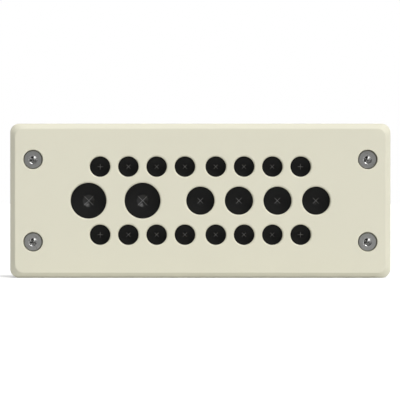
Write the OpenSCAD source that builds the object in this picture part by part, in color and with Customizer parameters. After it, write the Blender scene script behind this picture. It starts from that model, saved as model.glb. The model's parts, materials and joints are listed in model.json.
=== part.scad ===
// Cable entry plate for a cabinet wall.
// A rigid frame screws over a rectangular panel cut-out. Behind each of its round entries an
// elastomer mat forms a membrane that a cable pierces, and a gasket seals the frame to the panel.
// The plate stands upright: X across, Z up, the front faces -Y, and the origin is the middle of
// the panel surface. Each piece is drawn lying on the panel, with z as the height over the panel
// surface and y up the plate, and is then stood up.

/* [Cable entries] */
// Diameter of the large entries
large_d = 14; // [10:0.5:16]
// Diameter of the medium entries
medium_d = 11; // [8:0.5:14]
// Diameter of the small entries
small_d = 8; // [6:0.5:10]
// Number of large entries
large_n = 2; // [1:1:4]
// Number of medium entries
medium_n = 4; // [1:1:6]
// Number of small entries on each half of a row
small_half_n = 4; // [1:1:6]
// Web between two large entries
large_web = 7; // [2:0.5:12]
// Web between the large and the medium entries
step_web = 10; // [2:0.5:16]
// Web between two medium entries
medium_web = 4; // [2:0.5:8]
// Web between two small entries
small_web = 3; // [2:0.25:6]
// Web between the two small entries beside the middle
middle_web = 4; // [2:0.25:10]
// Height between the middle row and a small row
row_web = 2.25; // [2:0.25:6]
// Chamfer at the mouth of an entry
mouth_chamfer = 0.4; // [0.1:0.1:0.8]

/* [Panel fixing] */
// Distance from the entries to the sides of the panel cut-out
cutout_side = 5.5; // [1:0.25:12]
// Distance from the entries to the top and bottom of the panel cut-out
cutout_top = 0.75; // [0.5:0.25:4]
// Distance from the cut-out's edge out to the sealing land
land_gap = 0.5; // [0.25:0.25:1]
// Width of the sealing land round the cut-out
land_w = 4.4; // [4:0.1:5.5]
// Corner radius of the room inside the sealing land
room_corner_r = 3; // [1:0.5:6]
// Distance from the cut-out's side out to the screws
screw_out = 9; // [8:0.25:14]
// Distance from the cut-out's top or bottom in to the screws
screw_in = 2; // [0:0.25:6]
// Wall of the boss round a screw's counterbore
boss_wall = 1.5; // [1:0.25:2]

/* [Frame] */
// Distance from the screws out to the frame's sides
frame_side = 9; // [8.5:0.25:16]
// Distance from the cut-out out to the frame's top and bottom
frame_top = 12; // [10:0.25:20]
// Depth of the frame over the panel surface
frame_depth = 10; // [9:0.5:16]
// Width of the bevel round the front face
bevel_w = 2; // [0.5:0.25:3]
// Depth of the bevel round the front face
bevel_depth = 2; // [0.5:0.25:2.75]
// Corner radius of the outline
corner_r = 3.5; // [2.75:0.25:8]
// Corner radius of the front face
face_corner_r = 3.25; // [1:0.25:6]
// Edge break round the back
back_break = 0.3; // [0.1:0.1:0.8]
// Thickness of the front wall
front_t = 3; // [2:0.25:4.5]
// Thickness of the outer rim
rim_t = 2.5; // [1.5:0.25:4]
// Corner radius inside the outer rim
rim_corner_r = 1.75; // [0.5:0.25:4]
// Thickness of the stiffening ribs
rib_t = 1.5; // [1:0.25:3]
// Spacing of the stiffening ribs along the frame
rib_pitch = 18; // [10:1:30]
// How far the ribs stay behind the panel surface
rib_setback = 1; // [0.25:0.25:3]

/* [Screws] */
// Thread diameter
thread_d = 4; // [3:0.5:4.5]
// Diameter of the plain shank inside the frame
shank_d = 3.5; // [2.5:0.1:3.6]
// Diameter of the head
head_d = 7; // [6:0.25:7.5]
// Height of the head
head_h = 4; // [3:0.25:5]
// Chamfer round the top of the head
head_chamfer = 0.35; // [0.1:0.05:0.6]
// How far the head lies under the front face
head_recess = 0.6; // [0:0.1:1.5]
// Hexagon socket, across its flats
socket_af = 3; // [2:0.5:3.5]
// Depth of the hexagon socket
socket_depth = 2; // [1.5:0.25:2.75]
// Wall that the socket's drill left to the flats
socket_land = 0.1; // [0.05:0.05:0.3]
// Depth of the drill point under the socket
socket_point = 0.6; // [0.2:0.1:0.8]
// How far the thread stands out behind the panel surface
screw_reach = 6.6; // [4:0.2:16]
// Chamfer at the tip of the thread
tip_chamfer = 0.6; // [0.2:0.1:1]
// Gap round the screw in its hole, on the diameter
hole_clearance = 0.5; // [0.3:0.1:1]
// Gap round the head in its counterbore, on the diameter
head_clearance = 0.5; // [0.3:0.1:1]
// Chamfer at the mouth of the counterbore
counterbore_chamfer = 0.2; // [0.1:0.05:0.4]

/* [Membranes] */
// Thickness of the mat
mat_t = 2.4; // [2.2:0.1:4]
// Thickness of a membrane round its piercing cup
membrane_t = 1; // [0.6:0.1:1.4]
// Depth of the dish in front of a membrane
dish_depth = 0.35; // [0.1:0.05:0.6]
// Distance from the entry's wall to the dish
dish_inset = 0.3; // [0.1:0.1:0.8]
// Diameter of the piercing cup in a large entry
large_cup_d = 5; // [3:0.1:5]
// Diameter of the piercing cup in a medium entry
medium_cup_d = 3.1; // [2:0.1:4.5]
// Diameter of the piercing cup in a small entry
small_cup_d = 2.2; // [1.6:0.1:3]
// Width of the flat rim round a piercing cup
cup_rim = 0.3; // [0.1:0.05:0.6]
// Depth of a piercing cup, as a share of its diameter
cup_steepness = 0.27; // [0.15:0.01:0.27]
// Wall behind a piercing cup
cup_wall = 0.6; // [0.3:0.05:0.6]
// Width of the cross in a piercing cup
cross_w = 0.5; // [0.3:0.05:0.8]
// Height of the cross over the floor of its cup
cross_h = 0.3; // [0.1:0.05:0.4]
// Room between the entry's wall and the relief behind its membrane
relief_margin = 0.4; // [0.1:0.1:0.8]
// Taper of the relief's wall from back to front
relief_taper = 0.9; // [0.3:0.1:1.5]

/* [Gasket] */
// Width of the gasket
gasket_w = 2.4; // [1.6:0.1:2.6]
// Gap on each side of the gasket in its groove
gasket_clearance = 0.1; // [0.05:0.05:0.2]
// Depth of the gasket's groove
groove_depth = 2; // [1:0.25:4]
// How far the gasket stands out of its groove
gasket_proud = 0.6; // [0.55:0.05:1]
// Rise of the gasket's domed sealing face
dome_rise = 0.5; // [0.2:0.05:0.55]

/* [Hidden] */
$fn = 64;
// Flat strips on each rounded corner of the outline
corner_steps = 16;
// How far a cutting shape runs past the surface that it opens
past = 1;
// Middle row: the large entries from the left, then the medium ones
large_pitch = large_d + large_web;
medium_pitch = medium_d + medium_web;
step_pitch = large_d/2 + step_web + medium_d/2;
middle_row_w = large_d/2 + (large_n - 1)*large_pitch + step_pitch + (medium_n - 1)*medium_pitch + medium_d/2;
// Small rows: from the middle outwards on both sides
small_pitch = small_d + small_web;
small_first = (middle_web + small_d)/2;
small_row_w = 2*(small_first + (small_half_n - 1)*small_pitch) + small_d;
row_offset = max(large_d, medium_d)/2 + row_web + small_d/2;
// Panel cut-out round the entries, the screws beside it and the frame round them
cutout_w = max(middle_row_w, small_row_w) + 2*cutout_side;
cutout_h = 2*row_offset + small_d + 2*cutout_top;
screw_dx = cutout_w + 2*screw_out;
screw_dy = cutout_h - 2*screw_in;
frame_w = screw_dx + 2*frame_side;
frame_h = cutout_h + 2*frame_top;
// Height of the front wall's back, which the mat lies against
wall_z = frame_depth - front_t;
// Room inside the sealing land
room_w = cutout_w + 2*land_gap;
room_h = cutout_h + 2*land_gap;
// Middle line of the gasket and its groove
seal_w = room_w + land_w;
seal_h = room_h + land_w;
seal_r = room_corner_r + land_w/2;
groove_w = gasket_w + 2*gasket_clearance;
// Screw heads and the bosses that carry them
seat_z = frame_depth - head_recess - head_h;
head_z = seat_z + head_h;
counterbore_r = (head_d + head_clearance)/2;
boss_r = counterbore_r + boss_wall;
screw_spots = [for (sx = [-1, 1], sy = [-1, 1]) [sx*screw_dx/2, sy*screw_dy/2]];
// Ribs from the land to the rim on each side of the middle
rib_n = floor((room_w/2 + land_w - rib_t)/rib_pitch);
// Cross angles: square to the plate at the ends of the small rows, diagonal elsewhere
square_cross = 0;
diagonal_cross = 45;
// Entries as [x, y, diameter, piercing cup's diameter, cross angle]
first_large_x = -middle_row_w/2 + large_d/2;
first_medium_x = first_large_x + (large_n - 1)*large_pitch + step_pitch;
large_entries = [for (i = [0:large_n - 1])
    [first_large_x + i*large_pitch, 0, large_d, large_cup_d, diagonal_cross]];
medium_entries = [for (i = [0:medium_n - 1])
    [first_medium_x + i*medium_pitch, 0, medium_d, medium_cup_d, diagonal_cross]];
small_entries = [for (row = [-1, 1], side = [-1, 1], i = [0:small_half_n - 1])
    [side*(small_first + i*small_pitch), row*row_offset, small_d, small_cup_d,
     i == small_half_n - 1 ? square_cross : diagonal_cross]];
entries = concat(large_entries, medium_entries, small_entries);

// Radius of the ball that leaves a cap of the given diameter and rise
function cap_r(d, rise) = (d*d/4 + rise*rise)/(2*rise);

// Points round a rounded rectangle at height z
function outline_ring(w, h, r, z) = [
    for (quarter = [0:3], step = [0:corner_steps])
        let (a = 90*(quarter + step/corner_steps),
             cx = (quarter == 0 || quarter == 3 ? 1 : -1)*(w/2 - r),
             cy = (quarter < 2 ? 1 : -1)*(h/2 - r))
        [cx + r*cos(a), cy + r*sin(a), z]];

// Solid through a stack of rings that have the same number of points
module loft(rings) {
    n = len(rings[0]);
    last = len(rings) - 1;
    sides = [for (k = [0:last - 1], i = [0:n - 1])
        let (j = (i + 1) % n)
        [k*n + i, (k + 1)*n + i, (k + 1)*n + j, k*n + j]];
    bottom = [for (i = [0:n - 1]) i];
    top = [for (i = [n - 1:-1:0]) last*n + i];
    polyhedron([for (ring = rings) each ring], concat([bottom], sides, [top]), convexity = 2);
}

module rounded_rect(w, h, r) {
    square([w - 2*r, h], center = true);
    square([w, h - 2*r], center = true);
    for (sx = [-1, 1], sy = [-1, 1])
        translate([sx*(w/2 - r), sy*(h/2 - r)])
            circle(r);
}

// Sweeps a profile that is the same on both sides along a rounded rectangle
module sweep_round(w, h, r) {
    for (sy = [-1, 1])
        translate([0, sy*h/2, 0])
            rotate([90, 0, 90])
                linear_extrude(w - 2*r, center = true)
                    children();
    for (sx = [-1, 1])
        translate([sx*w/2, 0, 0])
            rotate([90, 0, 0])
                linear_extrude(h - 2*r, center = true)
                    children();
    for (quarter = [0:3])
        translate([(quarter == 0 || quarter == 3 ? 1 : -1)*(w/2 - r), (quarter < 2 ? 1 : -1)*(h/2 - r), 0])
            rotate(90*quarter)
                rotate_extrude(angle = 90)
                    translate([r, 0])
                        children();
}

// Stands a piece that was drawn lying on the panel up on the cabinet wall
module upright() {
    rotate([90, 0, 0])
        children();
}

// Area between the sealing land and the rim, without the screw bosses
module cored_area() {
    difference() {
        rounded_rect(frame_w - 2*rim_t, frame_h - 2*rim_t, rim_corner_r);
        rounded_rect(room_w + 2*land_w, room_h + 2*land_w, room_corner_r + land_w);
        for (spot = screw_spots)
            translate(spot)
                circle(boss_r);
    }
}

// Stiffening ribs that tie the land and the bosses to the rim
module rib_lines() {
    for (x = concat([for (i = [-rib_n:rib_n]) i*rib_pitch], [-screw_dx/2, screw_dx/2]))
        translate([x, 0])
            square([rib_t, frame_h], center = true);
    for (y = [-screw_dy/2, 0, screw_dy/2])
        translate([0, y])
            square([frame_w, rib_t], center = true);
}

// Pockets that core out the back round the sealing land
module back_pockets() {
    translate([0, 0, -past])
        linear_extrude(past + rib_setback)
            cored_area();
    linear_extrude(wall_z)
        difference() {
            cored_area();
            rib_lines();
        }
}

module mat_room() {
    translate([0, 0, -past])
        linear_extrude(past + wall_z)
            rounded_rect(room_w, room_h, room_corner_r);
}

module gasket_groove() {
    translate([0, 0, -past])
        linear_extrude(past + groove_depth)
            difference() {
                rounded_rect(seal_w + groove_w, seal_h + groove_w, seal_r + groove_w/2);
                rounded_rect(seal_w - groove_w, seal_h - groove_w, seal_r - groove_w/2);
            }
}

// Round hole from z up through the front, with a chamfered mouth
module chamfered_hole(r, z, chamfer) {
    translate([0, 0, z])
        cylinder(h = frame_depth - z + past, r = r);
    translate([0, 0, frame_depth - chamfer])
        cylinder(h = chamfer + past, r1 = r, r2 = r + chamfer + past);
}

module screw_seat() {
    chamfered_hole(counterbore_r, seat_z, counterbore_chamfer);
    translate([0, 0, -past])
        cylinder(h = seat_z + 2*past, d = thread_d + hole_clearance);
}

module entry_frame() {
    color([0.87, 0.85, 0.78])
        upright()
            difference() {
                loft([
                    outline_ring(frame_w - 2*back_break, frame_h - 2*back_break, corner_r, 0),
                    outline_ring(frame_w, frame_h, corner_r, back_break),
                    outline_ring(frame_w, frame_h, corner_r, frame_depth - bevel_depth),
                    outline_ring(frame_w - 2*bevel_w, frame_h - 2*bevel_w, face_corner_r, frame_depth)]);
                back_pockets();
                mat_room();
                gasket_groove();
                for (entry = entries)
                    translate([entry[0], entry[1], 0])
                        chamfered_hole(entry[2]/2, wall_z - past, mouth_chamfer);
                for (spot = screw_spots)
                    translate(spot)
                        screw_seat();
            }
}

// Cone that widens from one height and radius to another and runs on past the second
module tapered_cut(z_narrow, r_narrow, z_wide, r_wide) {
    z_end = z_wide + sign(z_wide - z_narrow)*past;
    r_end = r_narrow + (r_wide - r_narrow)*(z_end - z_narrow)/(z_wide - z_narrow);
    rotate_extrude()
        polygon([[0, z_narrow], [r_narrow, z_narrow], [r_end, z_end], [0, z_end]]);
}

// Two bars that cross in the middle of a piercing cup
module cross_bars(size, angle) {
    for (turn = [0, 90])
        rotate(angle + turn)
            cube([size, cross_w, size], center = true);
}

// Cut-outs that turn the sheet behind one entry into a membrane, measured from the sheet's front:
// a shallow dish, a piercing cup that keeps a raised cross, and a relief behind with a dome on the cup
module membrane_cuts(entry_d, cup_d, cross_angle) {
    cup_depth = cup_steepness*cup_d;
    ball_r = cap_r(cup_d, cup_depth);
    ball_z = ball_r - dish_depth - cup_depth;
    relief_r = entry_d/2 + relief_margin;
    tapered_cut(-dish_depth, cup_d/2 + cup_rim, 0, entry_d/2 - dish_inset);
    translate([0, 0, ball_z]) {
        sphere(ball_r - cross_h);
        difference() {
            sphere(ball_r);
            cross_bars(2*ball_r + past, cross_angle);
        }
    }
    difference() {
        tapered_cut(-dish_depth - membrane_t, relief_r - relief_taper, -mat_t, relief_r);
        translate([0, 0, ball_z])
            sphere(ball_r + cup_wall);
    }
}

module membrane_mat() {
    color([0.08, 0.08, 0.08])
        upright()
            translate([0, 0, wall_z])
                difference() {
                    translate([0, 0, -mat_t])
                        linear_extrude(mat_t)
                            rounded_rect(room_w, room_h, room_corner_r);
                    for (entry = entries)
                        translate([entry[0], entry[1], 0])
                            membrane_cuts(entry[2], entry[3], entry[4]);
                }
}

// Section of the gasket: a strip in the groove with a domed sealing face
module gasket_profile() {
    dome_r = cap_r(gasket_w, dome_rise);
    translate([-gasket_w/2, 0])
        square([gasket_w, groove_depth]);
    intersection() {
        translate([0, dome_r - gasket_proud])
            circle(dome_r);
        translate([-gasket_w/2, -gasket_proud])
            square([gasket_w, 2*gasket_proud]);
    }
}

module panel_gasket() {
    color([0.16, 0.16, 0.17])
        upright()
            sweep_round(seal_w, seal_h, seal_r)
                gasket_profile();
}

// Hexagon socket with corners up and down, and the point that its drill left under it
module hex_socket() {
    drill_r = socket_af/2 - socket_land;
    translate([0, 0, head_z - socket_depth]) {
        rotate(30)
            cylinder(h = socket_depth + past, d = socket_af/cos(30), $fn = 6);
        rotate_extrude()
            polygon([[0, -socket_point], [drill_r, 0], [drill_r, past], [0, past]]);
    }
}

module cap_screw() {
    difference() {
        rotate_extrude()
            polygon([
                [0, -screw_reach],
                [thread_d/2 - tip_chamfer, -screw_reach],
                [thread_d/2, tip_chamfer - screw_reach],
                [thread_d/2, 0],
                [shank_d/2, 0],
                [shank_d/2, seat_z],
                [head_d/2, seat_z],
                [head_d/2, head_z - head_chamfer],
                [head_d/2 - head_chamfer, head_z],
                [0, head_z]]);
        hex_socket();
    }
}

module mounting_screws() {
    color([0.62, 0.62, 0.6])
        upright()
            for (spot = screw_spots)
                translate(spot)
                    cap_screw();
}

entry_frame();
membrane_mat();
panel_gasket();
mounting_screws();
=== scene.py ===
# %% [markdown]
# # Dressing a cable entry plate
# The plate closes a cut-out in a cabinet wall and lets cables through. It has four kinds of piece: a stiff
# cream frame, a black rubber mat whose 22 membranes are pierced by the cables, a rubber ring that seals the
# frame to the wall, and four socket head screws. The fixed frame that is loaded here gives their true sizes
# and places, and each cell then makes one piece or one finish that looks like the real one.

# %% Load the fixed frame
import json
import math

import bmesh
import bpy
import numpy as np
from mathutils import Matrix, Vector
from mathutils.kdtree import KDTree


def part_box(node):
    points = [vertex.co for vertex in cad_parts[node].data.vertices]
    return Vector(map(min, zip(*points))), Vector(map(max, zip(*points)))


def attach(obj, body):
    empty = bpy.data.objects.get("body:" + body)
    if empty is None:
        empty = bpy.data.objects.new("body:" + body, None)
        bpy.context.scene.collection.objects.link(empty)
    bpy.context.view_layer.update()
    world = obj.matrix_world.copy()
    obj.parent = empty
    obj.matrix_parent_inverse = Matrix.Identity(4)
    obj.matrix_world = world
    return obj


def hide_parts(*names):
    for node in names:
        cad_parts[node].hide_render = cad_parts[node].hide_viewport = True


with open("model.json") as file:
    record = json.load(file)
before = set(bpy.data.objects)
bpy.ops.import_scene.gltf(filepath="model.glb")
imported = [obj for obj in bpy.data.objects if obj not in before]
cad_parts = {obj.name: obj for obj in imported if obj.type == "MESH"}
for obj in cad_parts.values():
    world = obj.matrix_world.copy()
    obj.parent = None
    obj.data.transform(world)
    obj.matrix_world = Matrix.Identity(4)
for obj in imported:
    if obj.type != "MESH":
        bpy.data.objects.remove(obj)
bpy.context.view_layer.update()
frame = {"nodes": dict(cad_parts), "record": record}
print("pieces in the fixed frame:", sorted(frame["nodes"]))

# %% [markdown]
# ## Sizes
# Blender works in metres here, and small parts are easier to read in millimetres, so `MM` turns one into
# the other. The outer sizes of each piece are its box in the fixed frame. The entries and the screws are
# listed among the record's mounts, so their places and radii are read from there and not written again.

# %% Sizes and places from the fixed frame
MM = 0.001
frame_low, frame_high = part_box("entry_frame")
mat_low, mat_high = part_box("membrane_mat")
gasket_low, gasket_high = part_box("panel_gasket")
screw_low, screw_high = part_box("mounting_screws")
mounts = {mount["name"]: mount for mount in frame["record"]["mounts"]}
entries = [mount for name, mount in mounts.items() if "_entry_" in name]
studs = mounts["panel_studs"]["dims"]
screw_spots = [
    (sx * studs["spacing_x_mm"] / 2 * MM, sz * studs["spacing_y_mm"] / 2 * MM)
    for sx in (-1, 1)
    for sz in (-1, 1)
]
# The bevel round the front is as wide as it is deep
BEVEL = 2 * MM
frame_w = frame_high.x - frame_low.x
print(f"{len(entries)} entries and {len(screw_spots)} screws on a frame {frame_w:.3f} m wide")

# %% [markdown]
# ## Camera
# The plate was photographed from straight ahead through a long lens, so its sides hardly converge. The
# picture's width at the plate follows from how many pixels the plate takes up. The camera stands as far
# back as that width needs, and a hair to the left and above the middle, where the picture's centre lies.

# %% Camera in front of the plate
PICTURE_PX = 400
PLATE_PX = 380.3
PLATE_CENTRE_PX = (200.33, 200.7)
LENS = 250
picture_w = frame_w * PICTURE_PX / PLATE_PX
metres_per_px = picture_w / PICTURE_PX
camera_data = bpy.data.cameras.new("camera")
camera_data.lens = LENS
camera_data.clip_start = 0.01
camera_data.clip_end = 100
camera = bpy.data.objects.new("camera", camera_data)
bpy.context.scene.collection.objects.link(camera)
widest_y = frame_low.y + BEVEL
camera.location = (
    (PICTURE_PX / 2 - PLATE_CENTRE_PX[0]) * metres_per_px,
    widest_y - picture_w * LENS / camera_data.sensor_width,
    (PLATE_CENTRE_PX[1] - PICTURE_PX / 2) * metres_per_px,
)
camera.rotation_euler = (math.radians(90), 0, 0)
bpy.context.scene.camera = camera
bpy.context.scene.view_settings.view_transform = "Standard"
print(f"camera {-camera.location.y:.3f} m in front of the panel")

# %% [markdown]
# ## Helpers for node trees
# Shapes and finishes below are node trees that are built by script. `place` lays one node, sets its options
# and plugs its inputs. `Formula` wraps a number socket so that ordinary signs lay Math nodes, which keeps a
# formula readable. `ramp` runs from 0 to 1 between two values, with a soft start and end where asked.

# %% Node tree helpers
class Formula:
    """A number socket that can stand in a sum: each sign lays one Math node."""

    def __init__(self, tree, socket):
        self.tree = tree
        self.socket = socket

    def __add__(self, other):
        return math_node(self.tree, "ADD", self, other)

    def __radd__(self, other):
        return math_node(self.tree, "ADD", other, self)

    def __sub__(self, other):
        return math_node(self.tree, "SUBTRACT", self, other)

    def __rsub__(self, other):
        return math_node(self.tree, "SUBTRACT", other, self)

    def __mul__(self, other):
        return math_node(self.tree, "MULTIPLY", self, other)

    def __rmul__(self, other):
        return math_node(self.tree, "MULTIPLY", other, self)

    def __truediv__(self, other):
        return math_node(self.tree, "DIVIDE", self, other)

    def __rtruediv__(self, other):
        return math_node(self.tree, "DIVIDE", other, self)


def plug(tree, value, slot):
    """Links a socket or a formula into an input, or sets the input to a plain value."""
    if isinstance(value, Formula):
        value = value.socket
    if isinstance(value, bpy.types.NodeSocket):
        tree.links.new(value, slot)
    else:
        slot.default_value = value


def place(tree, kind, inputs=None, **settings):
    """Lays one node with its options set and its inputs plugged."""
    node = tree.nodes.new(kind)
    for name, value in settings.items():
        setattr(node, name, value)
    for name, value in (inputs or {}).items():
        plug(tree, value, node.inputs[name])
    return node


def math_node(tree, operation, *values):
    node = place(tree, "ShaderNodeMath", operation=operation)
    for slot, value in zip(node.inputs, values):
        plug(tree, value, slot)
    return Formula(tree, node.outputs["Value"])


def ramp(value, low, high, soft=False):
    """Runs from 0 at low to 1 at high and stays there."""
    shape = "SMOOTHSTEP" if soft else "LINEAR"
    inputs = {"Value": value, "From Min": low, "From Max": high}
    node = place(value.tree, "ShaderNodeMapRange", inputs, interpolation_type=shape, clamp=True)
    return Formula(value.tree, node.outputs["Result"])


def split(tree, vector):
    """The three parts of a vector as formulas."""
    node = place(tree, "ShaderNodeSeparateXYZ", {"Vector": vector})
    return [Formula(tree, part) for part in node.outputs]


print("node helpers ready")

# %% [markdown]
# ## Studio
# The plate stands on its lower edge on a white floor. Four soft lamps stand in an arc from above it round to
# its right, the strongest at the upper right: they light the top and right bevels and show as bright spots
# in the screws' sockets. The white room gives the rest of the light and is shaded at both sides, so that
# each bevel has its own tone. A shiny surface sees plain white behind the plate and a much dimmer room on
# the camera's side. The camera sees plain white everywhere, whatever light the room gives, so the background
# stays white without more light on the plate. The floor adds a little white of its own for rays from the
# camera or off a shiny surface, and keeps the plate's shadow.

# %% White room
ROOM_LIGHT = 1.3
# Where the shade of each side starts and is full, as parts of a direction to that side
LEFT_SHADE = (-0.13, 0.37)
RIGHT_SHADE = (0.15, 0.7)
# What shiny surfaces see of the room's light on the camera's side, and how softly that side ends
FRONT_SHARE = 0.2
FRONT_BLEND = 0.3


def ray_kinds(tree):
    """Two switches: 1 for rays from the camera, and 1 for rays off shiny surfaces or through clear ones."""
    path = place(tree, "ShaderNodeLightPath").outputs
    mirrored = math_node(tree, "MAXIMUM", path["Is Glossy Ray"], path["Is Transmission Ray"])
    return Formula(tree, path["Is Camera Ray"]), mirrored


def white_room():
    world = bpy.data.worlds.new("white room")
    world.use_nodes = True
    tree = world.node_tree
    tree.nodes.clear()
    across, depth, _ = split(tree, place(tree, "ShaderNodeTexCoord").outputs["Generated"])
    left = ramp(-1 * across, *LEFT_SHADE, soft=True)
    right = ramp(across, *RIGHT_SHADE, soft=True)
    light = ROOM_LIGHT * math_node(tree, "MAXIMUM", 1 - left - right, 0)
    seen, mirrored = ray_kinds(tree)
    front = FRONT_SHARE * light
    mirror_image = front + (1 - front) * ramp(depth, -FRONT_BLEND, FRONT_BLEND, soft=True)
    strength = light + mirrored * (mirror_image - light)
    strength = strength + seen * (1 - strength)
    room = place(tree, "ShaderNodeBackground", {"Color": (1, 1, 1, 1), "Strength": strength})
    place(tree, "ShaderNodeOutputWorld", {"Surface": room.outputs["Background"]})
    bpy.context.scene.world = world


white_room()
print(f"room light {ROOM_LIGHT}")

# %% Lamps
# Azimuth of each lamp, where 0 is to the right and 90 straight up, with its share of the light
LAMPS = {5: 0.12, 40: 0.06, 60: 0.46, 85: 0.42}
# Angle between a lamp and the way the plate faces, and the angle that a lamp's disc takes up
LAMP_TILT = 64
LAMP_SPREAD = 20
KEY_LIGHT = 0.8


def lamp_bank():
    """Soft lamps side by side in an arc."""
    tilt = math.radians(LAMP_TILT)
    for azimuth, share in LAMPS.items():
        data = bpy.data.lights.new(f"lamp at {azimuth}", "SUN")
        data.energy = math.pi * KEY_LIGHT * share
        data.angle = math.radians(LAMP_SPREAD)
        across = math.sin(tilt) * math.cos(math.radians(azimuth))
        up = math.sin(tilt) * math.sin(math.radians(azimuth))
        lamp = bpy.data.objects.new(data.name, data)
        lamp.rotation_euler = Vector((across, -math.cos(tilt), up)).to_track_quat("Z", "Y").to_euler()
        bpy.context.scene.collection.objects.link(lamp)


lamp_bank()
print(f"{len(LAMPS)} lamps with shares {list(LAMPS.values())} of {KEY_LIGHT}")

# %% White floor
FLOOR_HALF = 20
FLOOR_WHITE = 0.8
FLOOR_LIFT = 0.30


def white_floor():
    mesh = bpy.data.meshes.new("floor")
    signs = [(-1, -1), (1, -1), (1, 1), (-1, 1)]
    corners = [(x * FLOOR_HALF, y * FLOOR_HALF, frame_low.z) for x, y in signs]
    mesh.from_pydata(corners, [], [(0, 1, 2, 3)])
    material = bpy.data.materials.new("floor white")
    material.use_nodes = True
    tree = material.node_tree
    tree.nodes.clear()
    paint = place(tree, "ShaderNodeBsdfDiffuse", {"Color": (FLOOR_WHITE, FLOOR_WHITE, FLOOR_WHITE, 1)})
    seen, mirrored = ray_kinds(tree)
    lift = place(tree, "ShaderNodeEmission", {"Strength": FLOOR_LIFT * (seen + mirrored)})
    both = place(tree, "ShaderNodeAddShader", {0: paint.outputs["BSDF"], 1: lift.outputs["Emission"]})
    place(tree, "ShaderNodeOutputMaterial", {"Surface": both.outputs["Shader"]})
    mesh.materials.append(material)
    floor = bpy.data.objects.new("floor", mesh)
    bpy.context.scene.collection.objects.link(floor)


white_floor()
print(f"floor at {frame_low.z:.3f} m, under the plate's lower edge")

# %% [markdown]
# ## Moulded grain
# Plastic and rubber copy the surface of their mould. A spark-eroded mould leaves a fine pebbled grain, and
# the melt cools a little unevenly, which shows as faint patches. Three finishes here need both, so they
# share one node group: it takes the size of the grain and of the patches in millimetres, and gives the
# grain's height and the patches' strength.

# %% Moulded grain group
def grain_group():
    group = bpy.data.node_groups.new("moulded grain", "ShaderNodeTree")
    group.interface.new_socket("Vector", in_out="INPUT", socket_type="NodeSocketVector")
    for name in ("Grain", "Patch"):
        group.interface.new_socket(name, in_out="INPUT", socket_type="NodeSocketFloat")
    for name in ("Height", "Patches"):
        group.interface.new_socket(name, in_out="OUTPUT", socket_type="NodeSocketFloat")
    given = place(group, "NodeGroupInput").outputs
    result = place(group, "NodeGroupOutput")

    def noise(size, detail):
        scale = 1 / (Formula(group, size) * MM)
        inputs = {"Vector": given["Vector"], "Scale": scale, "Detail": detail}
        return place(group, "ShaderNodeTexNoise", inputs).outputs[0]

    plug(group, noise(given["Grain"], detail=2), result.inputs["Height"])
    plug(group, noise(given["Patch"], detail=3), result.inputs["Patches"])
    return group


moulded_grain = grain_group()
print("node group:", moulded_grain.name)

# %% [markdown]
# ## Finishes
# Each finish starts from the Principled shader. The frame is a matt cream plastic with a fine grain. The
# membranes are satin black rubber, with a painted highlight: a pale grey along the crests of their crosses,
# strongest at the centre, and with a sheen in the large cups, where the mould was polished. The gasket is a
# duller rubber. The screws are turned from plain steel, so their heads carry fine rings round their own
# axis: the screw mesh stores each point's distance from that axis. In their sockets the punch left the
# steel bare and smooth, so it mirrors the lamps.

# %% Helpers for finishes
def blank_finish(name):
    """A new material with its tree, its shader and the Object coordinates."""
    material = bpy.data.materials.new(name)
    material.use_nodes = True
    tree = material.node_tree
    tree.nodes.clear()
    shader = place(tree, "ShaderNodeBsdfPrincipled")
    place(tree, "ShaderNodeOutputMaterial", {"Surface": shader.outputs["BSDF"]})
    coords = place(tree, "ShaderNodeTexCoord").outputs["Object"]
    return material, tree, shader, coords


def mix_colours(tree, share, first, second):
    """A colour that runs from the first to the second as share runs from 0 to 1."""
    node = place(tree, "ShaderNodeMix", data_type="RGBA")
    factor, first_slot, second_slot = node.inputs[0], node.inputs[6], node.inputs[7]
    plug(tree, share, factor)
    for slot, colour in ((first_slot, first), (second_slot, second)):
        plug(tree, colour if isinstance(colour, bpy.types.NodeSocket) else (*colour, 1), slot)
    return node.outputs[2]


def relief(tree, height, depth_mm, strength=1.0):
    """A bump of the given depth for the Normal input."""
    inputs = {"Strength": strength, "Distance": depth_mm * MM, "Height": height}
    return place(tree, "ShaderNodeBump", inputs).outputs["Normal"]


def patchy(tree, patches, colour, swing):
    """The colour, darker and lighter by a share that swings from patch to patch."""
    dark, light = (tuple(part * factor for part in colour) for factor in (1 - swing, 1 + swing))
    return mix_colours(tree, patches, dark, light)


def attribute(tree, name):
    """A number that the mesh stores for each point."""
    node = place(tree, "ShaderNodeAttribute", attribute_name=name)
    return Formula(tree, node.outputs["Fac"])


def moulded_finish(name, grain_mm, patch_mm, roughness, depth_mm, specular):
    """A moulded finish without its colour yet; roughness is the least one and what the grain adds to it."""
    material, tree, shader, coords = blank_finish(name)
    inputs = {"Vector": coords, "Grain": grain_mm, "Patch": patch_mm}
    grain = place(tree, "ShaderNodeGroup", inputs, node_tree=moulded_grain).outputs
    height = Formula(tree, grain["Height"])
    least, added = roughness
    plug(tree, least + added * height, shader.inputs["Roughness"])
    plug(tree, relief(tree, height, depth_mm), shader.inputs["Normal"])
    plug(tree, specular, shader.inputs["Specular IOR Level"])
    return material, tree, shader, Formula(tree, grain["Patches"])


print("finish helpers ready")

# %% Frame plastic and two rubbers
CREAM = (0.705, 0.685, 0.555)
MEMBRANE_BLACK = (0.0110, 0.0111, 0.0112)
CUP_GREY = (0.0105, 0.0105, 0.0108)
# Pale grey of the painted highlight along the crests of the crosses
CREST_HIGHLIGHT_GREY = (0.215, 0.215, 0.217)
# Strength of the painted crest highlight where it is thinnest, and what the patches add to it
CREST_HIGHLIGHT_EVEN = 0.6
CREST_HIGHLIGHT_PATCHY = 0.5
SHEEN_ROUGHNESS = 0.30
GASKET_BLACK = (0.020, 0.020, 0.021)


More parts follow.
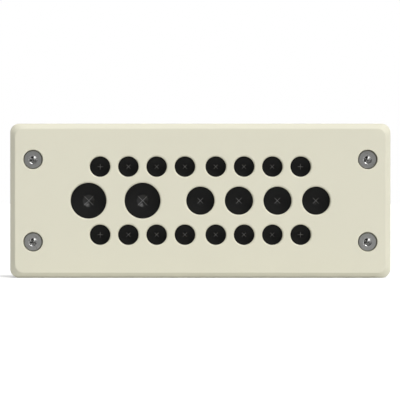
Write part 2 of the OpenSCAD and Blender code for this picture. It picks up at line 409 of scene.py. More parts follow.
def frame_plastic():
    material, tree, shader, patches = moulded_finish(
        "cream moulded plastic",
        grain_mm=0.28, patch_mm=22, roughness=(0.50, 0.12), depth_mm=0.012, specular=0.4,
    )
    plug(tree, patchy(tree, patches, CREAM, 0.015), shader.inputs["Base Color"])
    return material


def membrane_rubber():
    material, tree, shader, patches = moulded_finish(
        "satin black rubber",
        grain_mm=0.16, patch_mm=6, roughness=(0.40, 0.12), depth_mm=0.006, specular=0.10,
    )
    plain = mix_colours(tree, attribute(tree, "cup"), MEMBRANE_BLACK, CUP_GREY)
    # Painted highlight: the crests of the crosses are mixed towards a pale grey
    crest_highlight = attribute(tree, "crest") * (CREST_HIGHLIGHT_EVEN + CREST_HIGHLIGHT_PATCHY * patches)
    plug(tree, mix_colours(tree, crest_highlight, plain, CREST_HIGHLIGHT_GREY), shader.inputs["Base Color"])
    plug(tree, attribute(tree, "polish"), shader.inputs["Coat Weight"])
    plug(tree, SHEEN_ROUGHNESS, shader.inputs["Coat Roughness"])
    return material


def gasket_rubber():
    material, tree, shader, patches = moulded_finish(
        "dull black rubber",
        grain_mm=0.22, patch_mm=9, roughness=(0.55, 0.2), depth_mm=0.010, specular=0.3,
    )
    plug(tree, patchy(tree, patches, GASKET_BLACK, 0.2), shader.inputs["Base Color"])
    return material


finishes = {
    "frame_plastic": frame_plastic(),
    "membrane_rubber": membrane_rubber(),
    "gasket_rubber": gasket_rubber(),
}
print("moulded finishes:", [material.name for material in finishes.values()])

# %% Turned steel
STEEL_GREY = (0.325, 0.325, 0.315)
BRIGHT_STEEL = (0.36, 0.36, 0.355)
# Distances from a screw's axis at which the bare steel of its socket ends and the duller steel starts
BARE_STEEL = (1.6 * MM, 1.9 * MM)
RING_PITCH = 0.16 * MM
RING_SHARE = 0.5
WEAR_SIZE = 0.9 * MM
# Roughness in the sockets, and what the duller steel and its wear add to it
BARE_ROUGHNESS = 0.12
DULL_ROUGHNESS = 0.12
WEAR_ROUGHNESS = 0.12


def turned_steel():
    material, tree, shader, coords = blank_finish("turned steel")
    from_axis = attribute(tree, "axis_distance")
    rings = math_node(tree, "SINE", from_axis * (math.tau / RING_PITCH))
    inputs = {"Vector": coords, "Scale": 1 / WEAR_SIZE, "Detail": 2}
    wear = Formula(tree, place(tree, "ShaderNodeTexNoise", inputs).outputs[0])
    outside = ramp(from_axis, *BARE_STEEL)
    dull = patchy(tree, wear, STEEL_GREY, 0.1)
    plug(tree, mix_colours(tree, outside, BRIGHT_STEEL, dull), shader.inputs["Base Color"])
    roughness = BARE_ROUGHNESS + DULL_ROUGHNESS * outside + WEAR_ROUGHNESS * wear * outside
    plug(tree, roughness, shader.inputs["Roughness"])
    bumps = relief(tree, rings * RING_SHARE + wear, depth_mm=0.004, strength=0.6)
    plug(tree, bumps, shader.inputs["Normal"])
    plug(tree, 1.0, shader.inputs["Metallic"])
    return material


finishes["screw_steel"] = turned_steel()
print("steel finish:", finishes["screw_steel"].name)

# %% [markdown]
# ## Making pieces
# `add_piece` puts a finished mesh into the scene, lets it ride on the plate's only body and hides the solid
# that it stands for. `grow` runs a geometry tree: it sets the tree's named inputs on a modifier, evaluates
# it once and keeps the result as a plain mesh, because a mesh with live nodes can't be handed on.

# %% Helpers for pieces
WELD = 0.002 * MM


def add_piece(name, mesh, node):
    piece = bpy.data.objects.new(name, mesh)
    bpy.context.scene.collection.objects.link(piece)
    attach(piece, "root")
    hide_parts(node)
    print(f"{name}: {len(mesh.vertices)} points, {len(mesh.polygons)} faces")


def evaluated_mesh(thing):
    """The mesh that an object's modifiers make, as plain data; the object is removed."""
    bpy.context.scene.collection.objects.link(thing)
    depsgraph = bpy.context.evaluated_depsgraph_get()
    mesh = bpy.data.meshes.new_from_object(
        thing.evaluated_get(depsgraph), preserve_all_data_layers=True, depsgraph=depsgraph
    )
    bpy.data.objects.remove(thing)
    return mesh


def geometry_tree(name, inputs):
    """A new geometry tree with named inputs; returns it with its inputs and its output node."""
    tree = bpy.data.node_groups.new(name, "GeometryNodeTree")
    tree.is_modifier = True
    tree.interface.new_socket("Geometry", in_out="INPUT", socket_type="NodeSocketGeometry")
    tree.interface.new_socket("Geometry", in_out="OUTPUT", socket_type="NodeSocketGeometry")
    for input_name, kind in inputs.items():
        tree.interface.new_socket(input_name, in_out="INPUT", socket_type="NodeSocket" + kind)
    return tree, place(tree, "NodeGroupInput").outputs, place(tree, "NodeGroupOutput")


def grow(tree, start, values):
    """Runs a geometry tree on a start mesh with the given values for its named inputs."""
    seed = bpy.data.objects.new("seed", start)
    modifier = seed.modifiers.new("grow", "NODES")
    modifier.node_group = tree
    for item in tree.interface.items_tree:
        if item.in_out == "INPUT" and item.name in values:
            modifier[item.identifier] = values[item.name]
    return evaluated_mesh(seed)


def point_mesh(places, **numbers):
    """Loose points, each with its own numbers stored beside it."""
    mesh = bpy.data.meshes.new("points")
    mesh.from_pydata(places, [], [])
    for name, values in numbers.items():
        mesh.attributes.new(name, "FLOAT", "POINT").data.foreach_set("value", values)
    return mesh


def face_outwards(mesh, sharp_deg):
    """Turns every face of a closed mesh outwards and keeps edges over the given angle sharp."""
    shape = bmesh.new()
    shape.from_mesh(mesh)
    bmesh.ops.recalc_face_normals(shape, faces=shape.faces)
    open_edges = sum(not edge.is_manifold for edge in shape.edges)
    shape.to_mesh(mesh)
    shape.free()
    mesh.set_sharp_from_angle(angle=math.radians(sharp_deg))
    print(f"edges left open: {open_edges}")


def upright(tree, geometry, panel_offset):
    """Stands up what was laid out flat, with its own z towards the front, at a distance from the panel."""
    inputs = {
        "Geometry": geometry,
        "Rotation": (math.radians(90), 0, 0),
        "Translation": (0, panel_offset, 0),
    }
    return place(tree, "GeometryNodeTransform", inputs).outputs["Geometry"]


print("piece helpers ready")

# %% [markdown]
# ## Frame
# The frame is one moulding. Its solid already has the right form, but every edge of it is knife sharp, and
# a moulded edge never is: the thin light that runs along a rounded edge is what makes plastic look real. So
# the solid's mesh is copied and welded, and the triangles of each flat wall are joined. The skin round the
# outside is taken off and laid again as a stack of rings, which follow a section with wide round edges at
# the front bevel. A Bevel modifier then gives all other edges, at the entries and behind, a fine rounding.

# %% Section of the frame's outer skin
CORNER_STEPS = 16
CORNER_R = 3.5 * MM
FACE_CORNER_R = 3.25 * MM
BACK_BREAK = 0.3 * MM
EDGE_R = 0.6 * MM
EDGE_POINTS = 5
# Rings this close to a round edge keep the flat beside it flat
RING_GAP = 0.06 * MM


def outline_ring(inset, radius, y):
    """Points round the frame's outline, drawn in by an inset, with the given corner radius."""
    points = []
    for quarter, (sx, sz) in enumerate([(1, 1), (-1, 1), (-1, -1), (1, -1)]):
        centre = Vector((sx * (frame_high.x - inset - radius), y, sz * (frame_high.z - inset - radius)))
        for step in range(CORNER_STEPS + 1):
            turn = math.pi / 2 * (quarter + step / CORNER_STEPS)
            points.append(centre + radius * Vector((math.cos(turn), 0, math.sin(turn))))
    return points


def corner_radius(inset):
    """The corners tighten a little from the outline to the front face."""
    return CORNER_R + (FACE_CORNER_R - CORNER_R) * inset / BEVEL


def skin_section():
    """Section of the outer skin from the back to the front face, as insets and y."""
    reach = EDGE_R * math.tan(math.pi / 8)
    quarter = np.linspace(0, math.pi / 2, EDGE_POINTS)
    eighth = np.linspace(0, math.pi / 4, EDGE_POINTS)
    back = [(BACK_BREAK * (1 - math.sin(a)), -BACK_BREAK * (1 - math.cos(a))) for a in quarter]
    wall = [(0, -BACK_BREAK - RING_GAP), (0, widest_y + reach + RING_GAP)]
    outer = [(EDGE_R * (1 - math.cos(a)), widest_y + reach - EDGE_R * math.sin(a)) for a in eighth]
    inner = [
        (BEVEL + reach - EDGE_R * math.sin(a), frame_low.y + EDGE_R * (1 - math.cos(a)))
        for a in reversed(eighth)
    ]
    slope = [
        (outer[-1][0] + RING_GAP, outer[-1][1] - RING_GAP),
        (inner[0][0] - RING_GAP, inner[0][1] + RING_GAP),
    ]
    face = [(BEVEL + reach + RING_GAP, frame_low.y)]
    return back + wall + outer + slope + inner + face


print(f"outer skin: {len(skin_section())} rings from the back to the front face")

# %% Laying the outer skin
# A face whose normal has more than this along y looks to the front or to the back
FACING_Y = 0.99


def relay_skin(shape):
    """Takes the faces round the outside off a copy of the frame and lays rounded ones."""
    finder = KDTree(len(shape.verts))
    verts = list(shape.verts)
    for index, vert in enumerate(verts):
        finder.insert(vert.co, index)
    finder.balance()
    sharp_rings = [
        [verts[finder.find(point)[1]] for point in outline_ring(*stop)]
        for stop in (
            (BACK_BREAK, CORNER_R, 0),
            (0, CORNER_R, -BACK_BREAK),
            (0, CORNER_R, widest_y),
            (BEVEL, FACE_CORNER_R, frame_low.y),
        )
    ]
    on_rings = {vert for ring in sharp_rings for vert in ring}
    skin = [f for f in shape.faces if on_rings.issuperset(f.verts) and abs(f.normal.y) < FACING_Y]
    bmesh.ops.delete(shape, geom=skin, context="FACES")
    section = skin_section()
    last = len(section) - 1
    rings = []
    for k, (inset, y) in enumerate(section):
        points = outline_ring(inset, CORNER_R if k == 0 else corner_radius(inset), y)
        if k in (0, last):
            ring = sharp_rings[0 if k == 0 else -1]
            for vert, point in zip(ring, points):
                vert.co = point
        else:
            ring = [shape.verts.new(point) for point in points]
        rings.append(ring)
    for low, high in zip(rings, rings[1:]):
        for i in range(len(low)):
            j = (i + 1) % len(low)
            shape.faces.new((low[i], low[j], high[j], high[i]))
    loose = [vert for vert in shape.verts if not vert.link_faces]
    bmesh.ops.delete(shape, geom=loose, context="VERTS")
    bmesh.ops.recalc_face_normals(shape, faces=shape.faces)
    print(f"outer skin: {len(skin)} sharp faces became {last * len(rings[0])} rounded ones")


# Edges under the first angle are flat, and those over the second are sharp
FLAT_EDGE = math.radians(0.2)
SHARP_EDGE = math.radians(25)


def welded_copy(node):
    """A clean copy of a node's mesh: welded, with the triangles of each flat wall joined into one face."""
    source = frame["nodes"][node].data
    mesh = bpy.data.meshes.new(node + "_copy")
    mesh.from_pydata([v.co for v in source.vertices], [], [tuple(p.vertices) for p in source.polygons])
    shape = bmesh.new()
    shape.from_mesh(mesh)
    bmesh.ops.remove_doubles(shape, verts=shape.verts, dist=WELD)
    flat = [edge for edge in shape.edges if edge.calc_face_angle(math.pi) < FLAT_EDGE]
    on_walls = [edge for edge in flat if abs(edge.link_faces[0].normal.y) < FACING_Y]
    bmesh.ops.dissolve_edges(shape, edges=on_walls, use_verts=False)
    return mesh, shape


frame_mesh, frame_shape = welded_copy("entry_frame")
relay_skin(frame_shape)

# %% Frame moulding
FINE_ROUND = 0.12 * MM
FINE_SEGMENTS = 3


def is_rounded(edge):
    """True for a sharp edge, apart from those that the mat covers."""
    middle = (edge.verts[0].co + edge.verts[1].co) / 2
    in_room = abs(middle.x) < mat_high.x + WELD and abs(middle.z) < mat_high.z + WELD
    under_mat = in_room and abs(middle.y - mat_low.y) < WELD
    return edge.calc_face_angle(0) > SHARP_EDGE and not under_mat


def frame_moulding(mesh, shape):
    """The frame with a fine rounding on its sharp edges."""
    weight = shape.edges.layers.float.new("bevel_weight_edge")
    for edge in shape.edges:
        edge[weight] = 1.0 if is_rounded(edge) else 0.0
        edge.smooth = edge[weight] > 0 or edge.calc_face_angle(0) < SHARP_EDGE
    for face in shape.faces:
        face.smooth = True
    shape.to_mesh(mesh)
    shape.free()
    mesh.materials.append(finishes["frame_plastic"])
    thing = bpy.data.objects.new("rounded", mesh)
    bevel = thing.modifiers.new("round edges", "BEVEL")
    bevel.width = FINE_ROUND
    bevel.segments = FINE_SEGMENTS
    bevel.limit_method = "WEIGHT"
    bevel.use_clamp_overlap = False
    bevel.loop_slide = False
    bevel.harden_normals = True
    return evaluated_mesh(thing)


add_piece("frame_moulding", frame_moulding(frame_mesh, frame_shape), "entry_frame")

# %% [markdown]
# ## Membranes
# Behind each entry the mat thins to a membrane: a shallow dish, a piercing cup like a round funnel in its
# middle and a raised cross in the cup, where a cable tip splits it. All 22 follow one rule with three sizes,
# so a geometry tree makes them. It lays a grid on every entry's point, bends each grid into a disc and sets
# the height of its points by a formula of the distance from the centre. A second, coarser set of discs forms
# the reliefs behind, and filled outlines with matching holes close the sheet, so that all of it welds.

# %% Helpers for discs and sheets
def stored(tree, name, kind="FLOAT"):
    node = place(tree, "GeometryNodeInputNamedAttribute", {"Name": name}, data_type=kind)
    return node.outputs["Attribute"]


def store(tree, geometry, name, value, kind="FLOAT"):
    inputs = {"Geometry": geometry, "Name": name, "Value": value}
    return place(tree, "GeometryNodeStoreNamedAttribute", inputs, data_type=kind).outputs["Geometry"]


def on_entries(tree, points, instance, scale=(1, 1, 1)):
    """A copy of a shape on every entry, as real geometry."""
    inputs = {"Points": points, "Instance": instance, "Scale": scale}
    copies = place(tree, "GeometryNodeInstanceOnPoints", inputs).outputs["Instances"]
    return place(tree, "GeometryNodeRealizeInstances", {"Geometry": copies}).outputs["Geometry"]


def disc_grid(tree, points, around_n, out_n):
    """A grid on every entry that knows its angle round the disc and its share of the way out."""
    sizes = {"Size X": 1, "Size Y": 1, "Vertices X": around_n + 1, "Vertices Y": out_n + 1}
    grid = place(tree, "GeometryNodeMeshGrid", sizes).outputs["Mesh"]
    x, y, _ = split(tree, place(tree, "GeometryNodeInputPosition").outputs["Position"])
    grid = store(tree, grid, "around", (x + 0.5) * math.tau)
    grid = store(tree, grid, "out", y + 0.5)
    return on_entries(tree, points, grid)


def bend_disc(tree, grid, radius, depth):
    """Moves the points of the grids onto discs of the given radius and depth round their entries."""
    around = Formula(tree, stored(tree, "around"))
    centre_x, centre_y, _ = split(tree, stored(tree, "centre", "FLOAT_VECTOR"))
    x = centre_x + radius * math_node(tree, "COSINE", around)
    y = centre_y + radius * math_node(tree, "SINE", around)
    spot = place(tree, "ShaderNodeCombineXYZ", {"X": x, "Y": y, "Z": -1 * depth}).outputs["Vector"]
    inputs = {"Geometry": grid, "Position": spot}
    return place(tree, "GeometryNodeSetPosition", inputs).outputs["Geometry"]


def spread(out, stops, widths):
    """Distance from the centre: each width takes up the share of the rings between its two stops."""
    total = 0
    for low, high, width in zip(stops, stops[1:], widths):
        total = total + width * ramp(out, low, high)
    return total


def ball_cap(tree, ball, distance, centre_height):
    """Depth of a ball's surface under its centre's height, at a distance from its axis."""
    rest = math_node(tree, "MAXIMUM", ball * ball - distance * distance, 0)
    return math_node(tree, "SQRT", rest) - centre_height


def filled_sheet(tree, points, outline, around_n, hole_r, depth):
    """The outline filled flat at a depth, with a round hole at every entry."""
    inputs = {"Resolution": around_n, "Radius": 1}
    circle = place(tree, "GeometryNodeCurvePrimitiveCircle", inputs).outputs["Curve"]
    scale = place(tree, "ShaderNodeCombineXYZ", {"X": hole_r, "Y": hole_r, "Z": 1}).outputs["Vector"]
    holes = on_entries(tree, points, circle, scale)
    join = place(tree, "GeometryNodeJoinGeometry")
    for part in (outline, holes):
        tree.links.new(part, join.inputs["Geometry"])
    sheet = place(tree, "GeometryNodeFillCurve", {"Curve": join.outputs["Geometry"]}, mode="TRIANGLES")
    offset = place(tree, "ShaderNodeCombineXYZ", {"Z": -1 * depth}).outputs["Vector"]
    inputs = {"Geometry": sheet.outputs["Mesh"], "Offset": offset}
    return place(tree, "GeometryNodeSetPosition", inputs).outputs["Geometry"]


def rounded_outline(tree, width, height, radius, corner_n):
    box = place(tree, "GeometryNodeCurvePrimitiveQuadrilateral", {"Width": width, "Height": height})
    inputs = {"Curve": box.outputs["Curve"], "Count": corner_n, "Radius": radius}
    return place(tree, "GeometryNodeFilletCurve", inputs, mode="POLY").outputs["Curve"]


print("disc and sheet helpers ready")

# %% Membrane sheet tree
AROUND_FRONT = 96
AROUND_BACK = 48
OUT_FRONT = 28
OUT_BACK = 14
SHEET_CORNER_STEPS = 8
# Shares of a disc's rings for its cup, the cup's rim, the dish and the lip
FRONT_STOPS = (0, 0.6, 0.7, 0.9, 1)
# Shares of a disc's rings behind for the dome, the floor and the wall
BACK_STOPS = (0, 0.5, 0.7, 1)
DOME_REACH = 1.3
FUNNEL_POWER = 1.4
# Shares of the cup's radius between which its polish and the painted highlight on the arms of its cross fade
# out
POLISH_FADE = (0.8, 1.0)
ARM_FADE = (0.8, 1.2)
# Half width of the painted crest highlight as a share of the cross's width, and what it loses from the
# centre to the rim
CREST_HIGHLIGHT_SHARE = 0.4
CREST_FADE = 0.55
MEMBRANE_SIZES = {
    "Dish Depth": 0.35 * MM,
    "Dish Inset": 0.3 * MM,
    "Cup Rim": 0.3 * MM,
    "Cup Steepness": 0.27,
    "Cup Blend": 0.08 * MM,
    "Cross Width": 0.56 * MM,
    "Cross Height": 0.1 * MM,
    "Membrane Thickness": 1.0 * MM,
    "Cup Wall": 0.6 * MM,
    "Relief Margin": 0.4 * MM,
    "Relief Taper": 0.9 * MM,
    "Sheet Width": mat_high.x - mat_low.x,
    "Sheet Height": mat_high.z - mat_low.z,
    "Sheet Thickness": mat_high.y - mat_low.y,
    "Sheet Corner": 3 * MM,
}


def membrane_tree():
    kinds = {name: "Float" for name in MEMBRANE_SIZES}
    tree, given, result = geometry_tree("membrane sheet", {**kinds, "Material": "Material"})
    size = {name: Formula(tree, given[name]) for name in MEMBRANE_SIZES}
    at = place(tree, "GeometryNodeInputPosition").outputs["Position"]
    points = store(tree, given["Geometry"], "centre", at, "FLOAT_VECTOR")
    entry_r = Formula(tree, stored(tree, "entry_r"))
    cup_r = Formula(tree, stored(tree, "cup_r"))
    out = Formula(tree, stored(tree, "out"))
    cup_depth = size["Cup Steepness"] * cup_r * 2
    ball_r = (cup_r * cup_r + cup_depth * cup_depth) / (cup_depth * 2)

    dish_w = entry_r - size["Dish Inset"] - size["Cup Rim"] - cup_r
    distance = spread(out, FRONT_STOPS, (cup_r, size["Cup Rim"], dish_w, size["Dish Inset"]))
    turned = Formula(tree, stored(tree, "around")) - Formula(tree, stored(tree, "cross_turn"))
    along = math_node(tree, "ABSOLUTE", distance * math_node(tree, "COSINE", turned))
    beside = math_node(tree, "ABSOLUTE", distance * math_node(tree, "SINE", turned))
    off_line = math_node(tree, "MINIMUM", along, beside)
    crest = 1 - ramp(off_line, 0, size["Cross Width"] * 0.5, soft=True)
    funnel = cup_depth * (1 - math_node(tree, "POWER", distance / cup_r, FUNNEL_POWER))
    cup = math_node(tree, "SMOOTH_MAX", funnel - size["Cross Height"] * crest, 0, size["Cup Blend"])
    dish = size["Dish Depth"] * (1 - ramp(out, FRONT_STOPS[2], FRONT_STOPS[3], soft=True))
    front = disc_grid(tree, points, AROUND_FRONT, OUT_FRONT)
    in_cup = 1 - ramp(distance, *(cup_r * share for share in POLISH_FADE), soft=True)
    # Mask of the painted highlight: along the crests of the cross, fading out past the cup and towards its
    # rim
    crest_highlight = 1 - ramp(off_line, 0, size["Cross Width"] * CREST_HIGHLIGHT_SHARE, soft=True)
    front = store(tree, front, "cup", in_cup)
    front = store(tree, front, "polish", in_cup * Formula(tree, stored(tree, "cup_polish")))
    arm_end = 1 - ramp(distance, *(cup_r * share for share in ARM_FADE), soft=True)
    front = store(tree, front, "crest", crest_highlight * arm_end * (1 - CREST_FADE * ramp(distance, 0, cup_r)))
    front = bend_disc(tree, front, distance, dish + cup)

    relief_r = entry_r + size["Relief Margin"]
    dome_w = cup_r * DOME_REACH
    floor_w = relief_r - size["Relief Taper"] - dome_w
    behind = spread(out, BACK_STOPS, (dome_w, floor_w, size["Relief Taper"]))
    floor_depth = size["Dish Depth"] + size["Membrane Thickness"]
    dome = ball_cap(tree, ball_r + size["Cup Wall"], behind, ball_r - cup_depth - size["Dish Depth"])
    dome = math_node(tree, "SMOOTH_MAX", dome, floor_depth, size["Cup Blend"] * 2)
    wall = (size["Sheet Thickness"] - floor_depth) * ramp(out, BACK_STOPS[2], BACK_STOPS[3], soft=True)
    back = bend_disc(tree, disc_grid(tree, points, AROUND_BACK, OUT_BACK), behind, dome + wall)

    sheet = [size["Sheet " + name] for name in ("Width", "Height", "Corner")]
    outline = rounded_outline(tree, *sheet, SHEET_CORNER_STEPS)
    thickness = size["Sheet Thickness"]
    front_sheet = filled_sheet(tree, points, outline, AROUND_FRONT, entry_r, 0)
    back_sheet = filled_sheet(tree, points, outline, AROUND_BACK, relief_r, thickness)
    rim = place(tree, "GeometryNodeCurveToMesh", {"Curve": outline}).outputs["Mesh"]
    down = place(tree, "ShaderNodeCombineXYZ", {"Z": -1 * thickness}).outputs["Vector"]
    inputs = {"Mesh": rim, "Offset": down, "Offset Scale": 1}
    side = place(tree, "GeometryNodeExtrudeMesh", inputs, mode="EDGES")

    join = place(tree, "GeometryNodeJoinGeometry")
    for part in (front, back, front_sheet, back_sheet, side.outputs["Mesh"]):
        tree.links.new(part, join.inputs["Geometry"])
    inputs = {"Geometry": join.outputs["Geometry"], "Distance": WELD}
    welded = place(tree, "GeometryNodeMergeByDistance", inputs)
    smooth = place(tree, "GeometryNodeSetShadeSmooth", {"Geometry": welded.outputs["Geometry"]})
    stood = upright(tree, smooth.outputs["Geometry"], mat_low.y)
    done = place(tree, "GeometryNodeRealizeInstances", {"Geometry": stood}).outputs["Geometry"]
    done = place(tree, "GeometryNodeSetMaterial", {"Geometry": done, "Material": given["Material"]})
    plug(tree, done.outputs["Geometry"], result.inputs["Geometry"])
    return tree


sheet_tree = membrane_tree()
print(f"membrane tree: {len(sheet_tree.nodes)} nodes")

# %% Membrane moulding
CUP_D = {"large": 5.0 * MM, "medium": 3.1 * MM, "upper": 2.2 * MM, "lower": 2.2 * MM}
CUP_POLISH = {"large": 0.50, "medium": 0.08, "upper": 0.08, "lower": 0.08}
SQUARE_CROSS = 0
DIAGONAL_CROSS = math.radians(45)


def entry_points():
    """One point for each entry, laid out flat, with the sizes and the finish of its membrane."""
    farthest_small = max(e["pos_m"][0] for e in entries if e["name"].startswith("upper"))
    turns = []
    for entry in entries:
        at_end = entry["pos_m"][2] != 0 and abs(entry["pos_m"][0]) > farthest_small - WELD
        turns.append(SQUARE_CROSS if at_end else DIAGONAL_CROSS)
    return point_mesh(
        [(e["pos_m"][0], e["pos_m"][2], 0) for e in entries],
        entry_r=[e["dims"]["r_mm"] * MM for e in entries],
        cup_r=[CUP_D[e["name"].split("_")[0]] / 2 for e in entries],
        cup_polish=[CUP_POLISH[e["name"].split("_")[0]] for e in entries],
        cross_turn=turns,
    )


values = {**MEMBRANE_SIZES, "Material": finishes["membrane_rubber"]}
mat_mesh = grow(sheet_tree, entry_points(), values)
face_outwards(mat_mesh, sharp_deg=50)
add_piece("membrane_moulding", mat_mesh, "membrane_mat")

# %% [markdown]
# ## Gasket
# The gasket is a rubber ring of constant section, so it is a path and a section: the tree rounds the
# corners of a rectangle and sweeps the section along it. The section is flat where it sits in the groove,
# with small rounded corners, and domed where it meets the panel.

# %% Gasket ring
GASKET_W = 2.4 * MM
DOME_RISE = 0.5 * MM
GASKET_CORNER = 0.2 * MM
SEAL_CORNER = 5.2 * MM
SEAL_CORNER_STEPS = 14
DOME_POINTS = 15


def gasket_section():
    """The gasket's section: x across it and y towards the panel."""
    half = GASKET_W / 2
    foot = gasket_low.y
    shoulder = gasket_high.y - DOME_RISE
    dome_r = (half * half + DOME_RISE * DOME_RISE) / (2 * DOME_RISE)
    dome_turn = math.asin(half / dome_r)
    dome_y = gasket_high.y - dome_r
    dome = [
        (dome_r * math.sin(a), dome_y + dome_r * math.cos(a))
        for a in np.linspace(-dome_turn, dome_turn, DOME_POINTS)
    ]
    right = [
        (half - GASKET_CORNER * (1 - math.cos(a)), foot + GASKET_CORNER * (1 - math.sin(a)))
        for a in np.linspace(0, math.pi / 2, EDGE_POINTS)
    ]
    left = [(-x, y) for x, y in reversed(right)]
    points = dome + right + left
    mesh = bpy.data.meshes.new("gasket section")
    edges = [(i, (i + 1) % len(points)) for i in range(len(points))]
    mesh.from_pydata([(x, y, 0) for x, y in points], edges, [])
    return bpy.data.objects.new("gasket section", mesh)


def gasket_tree():
    sizes = ("Path Width", "Path Height", "Path Corner")
    kinds = {**dict.fromkeys(sizes, "Float"), "Section": "Object", "Material": "Material"}
    tree, given, result = geometry_tree("gasket ring", kinds)
    path = rounded_outline(tree, *(given[name] for name in sizes), SEAL_CORNER_STEPS)
    path = place(tree, "GeometryNodeSetCurveNormal", {"Curve": path}, mode="Z_UP").outputs["Curve"]
    section = place(tree, "GeometryNodeObjectInfo", {"Object": given["Section"]}).outputs["Geometry"]
    section = place(tree, "GeometryNodeMeshToCurve", {"Mesh": section}).outputs["Curve"]
    ring = place(tree, "GeometryNodeCurveToMesh", {"Curve": path, "Profile Curve": section}).outputs["Mesh"]
    smooth = place(tree, "GeometryNodeSetShadeSmooth", {"Geometry": ring}).outputs["Geometry"]
    stood = upright(tree, smooth, 0)
    done = place(tree, "GeometryNodeRealizeInstances", {"Geometry": stood}).outputs["Geometry"]
    done = place(tree, "GeometryNodeSetMaterial", {"Geometry": done, "Material": given["Material"]})
    plug(tree, done.outputs["Geometry"], result.inputs["Geometry"])
    return tree


section = gasket_section()
gasket_mesh = grow(gasket_tree(), bpy.data.meshes.new("empty"), {
    "Path Width": gasket_high.x - gasket_low.x - GASKET_W,
    "Path Height": gasket_high.z - gasket_low.z - GASKET_W,
    "Path Corner": SEAL_CORNER,
    "Section": section,
    "Material": finishes["gasket_rubber"],
})
bpy.data.objects.remove(section)
face_outwards(gasket_mesh, sharp_deg=40)
add_piece("gasket_ring", gasket_mesh, "panel_gasket")

# %% [markdown]
# ## Screws
# A socket head screw is turned, rolled and punched, so its mesh is a stack of loops round one axis: each
# loop has a height and a radius that may change round the loop. That one rule gives the helix of the
# thread, the knurl on the head's side, the hexagon of the socket and the cone that a drill left under it.
# The screw is made once and a geometry tree puts it at its four places.

# %% Loops of the thread
AROUND_SCREW = 96
THREAD_R = 2.0 * MM
THREAD_ROOT_R = 1.6 * MM
THREAD_PITCH = 0.7 * MM
# Share of half a pitch that is flat at the crest, and again at the root
THREAD_FLAT = 0.125
LOOPS_PER_PITCH = 10
TIP_CHAMFER = 0.6 * MM
angles = np.linspace(0, math.tau, AROUND_SCREW, endpoint=False)


def thread_radius(height):
    """Radius of the thread round a loop at this height: a ridge that climbs one pitch each turn."""
    phase = (height / THREAD_PITCH - angles / math.tau) % 1
    ridge = np.clip((1 - THREAD_FLAT - np.abs(2 * phase - 1)) / (1 - 2 * THREAD_FLAT), 0, 1)
    run_out = np.clip(-height / THREAD_PITCH, 0, 1)
    radius = THREAD_ROOT_R + (THREAD_R - THREAD_ROOT_R) * ridge * run_out
    return np.minimum(radius, THREAD_R - TIP_CHAMFER + height + screw_high.y)


def thread_loops():
    """Loops from the middle of the tip to the end of the thread."""
    tip = -screw_high.y
    count = round(screw_high.y / THREAD_PITCH * LOOPS_PER_PITCH) + 1
    inner_tip = (tip, np.full(AROUND_SCREW, (THREAD_R - TIP_CHAMFER) / 2))
    return [inner_tip] + [(height, thread_radius(height)) for height in np.linspace(tip, 0, count)]


print(f"thread: {len(thread_loops())} loops")

# %% Loops of the shank, head and socket
SHANK_R = 1.75 * MM
RUN_OUT = 0.12 * MM
NECK = 0.15 * MM
HEAD_R = 3.5 * MM
HEAD_H = 4 * MM
KNURL_DEPTH = 0.07 * MM
# The head's lower edge, and its upper one, whose loops lie these shares of it down and inwards
FOOT_EDGE = 0.2 * MM
HEAD_EDGE = 0.2 * MM
KNURL_END = 1.6
HEAD_EDGE_LOOPS = ((1, 0), (0.5, 0.25))
FACE_INSET = 1.12
FACE_LOOPS = 6
SOCKET_AF = 3 * MM
SOCKET_DEPTH = 2 * MM
SOCKET_FILLET = 0.05 * MM
SOCKET_MOUTH_R = 1.64 * MM
MOUTH_LEAST = 0.03 * MM
MOUTH_SLOPE = math.tan(math.radians(30))
DRILL_R = 1.4 * MM
DRILL_POINT = 0.84 * MM
CONE_SHARES = (1, 0.75, 0.5, 0.25, 0.08)


def hexagon_radius():
    """Radius of the socket round a loop, with corners up and down."""
    from_flat = (angles + math.pi / 6) % (math.pi / 3) - math.pi / 6
    return SOCKET_AF / 2 / np.cos(from_flat)


def head_loops():
    """Loops from the thread's end up the shank and the head's side to the edge of its face."""
    top = -screw_low.y
    seat = top - HEAD_H
    knurl = np.where(np.arange(AROUND_SCREW) % 2, HEAD_R, HEAD_R - KNURL_DEPTH)
    return [
        (RUN_OUT, SHANK_R),
        (seat - NECK, SHANK_R),
        (seat, SHANK_R + NECK),
        (seat, HEAD_R - FOOT_EDGE),
        (seat + 0.4 * FOOT_EDGE, HEAD_R - 0.5 * FOOT_EDGE),
        (seat + FOOT_EDGE, knurl),
        (top - KNURL_END * HEAD_EDGE, knurl),
        *((top - down * HEAD_EDGE, HEAD_R - inwards * HEAD_EDGE) for down, inwards in HEAD_EDGE_LOOPS),
    ]


def socket_loops():
    """Loops from the edge of the head's face down the socket to the drill's point."""
    top = -screw_low.y
    floor = top - SOCKET_DEPTH
    hexagon = hexagon_radius()
    mouth = np.maximum(hexagon + MOUTH_LEAST, SOCKET_MOUTH_R)
    face_r = HEAD_R - FACE_INSET * HEAD_EDGE
    return [
        *((top, face_r + (mouth - face_r) * share) for share in np.linspace(0, 1, FACE_LOOPS)),
        (top - (mouth - hexagon) * MOUTH_SLOPE, hexagon),
        (top - SOCKET_DEPTH / 2, hexagon),
        (floor + SOCKET_FILLET, hexagon),
        (floor, hexagon - SOCKET_FILLET),
        *((floor - (1 - share) * DRILL_POINT, share * DRILL_R) for share in CONE_SHARES),
    ]


print(f"head: {len(head_loops())} loops, socket: {len(socket_loops())} loops")

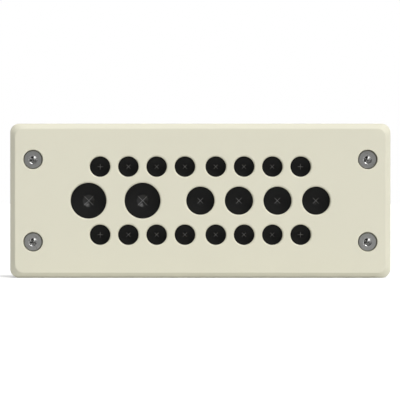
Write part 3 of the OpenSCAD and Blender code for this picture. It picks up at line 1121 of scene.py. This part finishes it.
# %% One screw from its loops
def screw_mesh():
    """One screw laid out flat round the z axis, with each point's distance from that axis."""
    loops = thread_loops() + head_loops() + socket_loops()
    rows = [
        np.column_stack([radius * np.cos(angles), radius * np.sin(angles), height + 0 * angles])
        for height, radius in loops
    ]
    tip = -screw_high.y
    point = -screw_low.y - SOCKET_DEPTH - DRILL_POINT
    places = np.vstack([*rows, [[0, 0, tip], [0, 0, point]]])
    n = AROUND_SCREW
    faces = [
        (k * n + i, k * n + (i + 1) % n, (k + 1) * n + (i + 1) % n, (k + 1) * n + i)
        for k in range(len(loops) - 1)
        for i in range(n)
    ]
    first_pole, last_pole = len(places) - 2, len(places) - 1
    last = (len(loops) - 1) * n
    faces += [(first_pole, (i + 1) % n, i) for i in range(n)]
    faces += [(last_pole, last + i, last + (i + 1) % n) for i in range(n)]
    mesh = bpy.data.meshes.new("screw")
    mesh.from_pydata(places.tolist(), [], faces)
    from_axis = mesh.attributes.new("axis_distance", "FLOAT", "POINT")
    from_axis.data.foreach_set("value", np.hypot(places[:, 0], places[:, 1]))
    return mesh


one_screw = bpy.data.objects.new("one screw", screw_mesh())
print(f"one screw: {len(one_screw.data.polygons)} faces")

# %% Four screws in their places
def screw_tree():
    tree, given, result = geometry_tree("screws in place", {"Screw": "Object", "Material": "Material"})
    screw = place(tree, "GeometryNodeObjectInfo", {"Object": given["Screw"], "As Instance": True})
    spots = place(tree, "GeometryNodeInstanceOnPoints", {"Points": given["Geometry"]})
    plug(tree, screw.outputs["Geometry"], spots.inputs["Instance"])
    stood = upright(tree, spots.outputs["Instances"], 0)
    real = place(tree, "GeometryNodeRealizeInstances", {"Geometry": stood}).outputs["Geometry"]
    smooth = place(tree, "GeometryNodeSetShadeSmooth", {"Geometry": real}).outputs["Geometry"]
    done = place(tree, "GeometryNodeSetMaterial", {"Geometry": smooth, "Material": given["Material"]})
    plug(tree, done.outputs["Geometry"], result.inputs["Geometry"])
    return tree


screws_mesh = grow(screw_tree(), point_mesh([(x, z, 0) for x, z in screw_spots]), {
    "Screw": one_screw,
    "Material": finishes["screw_steel"],
})
bpy.data.objects.remove(one_screw)
face_outwards(screws_mesh, sharp_deg=25)
add_piece("cap_screws", screws_mesh, "mounting_screws")
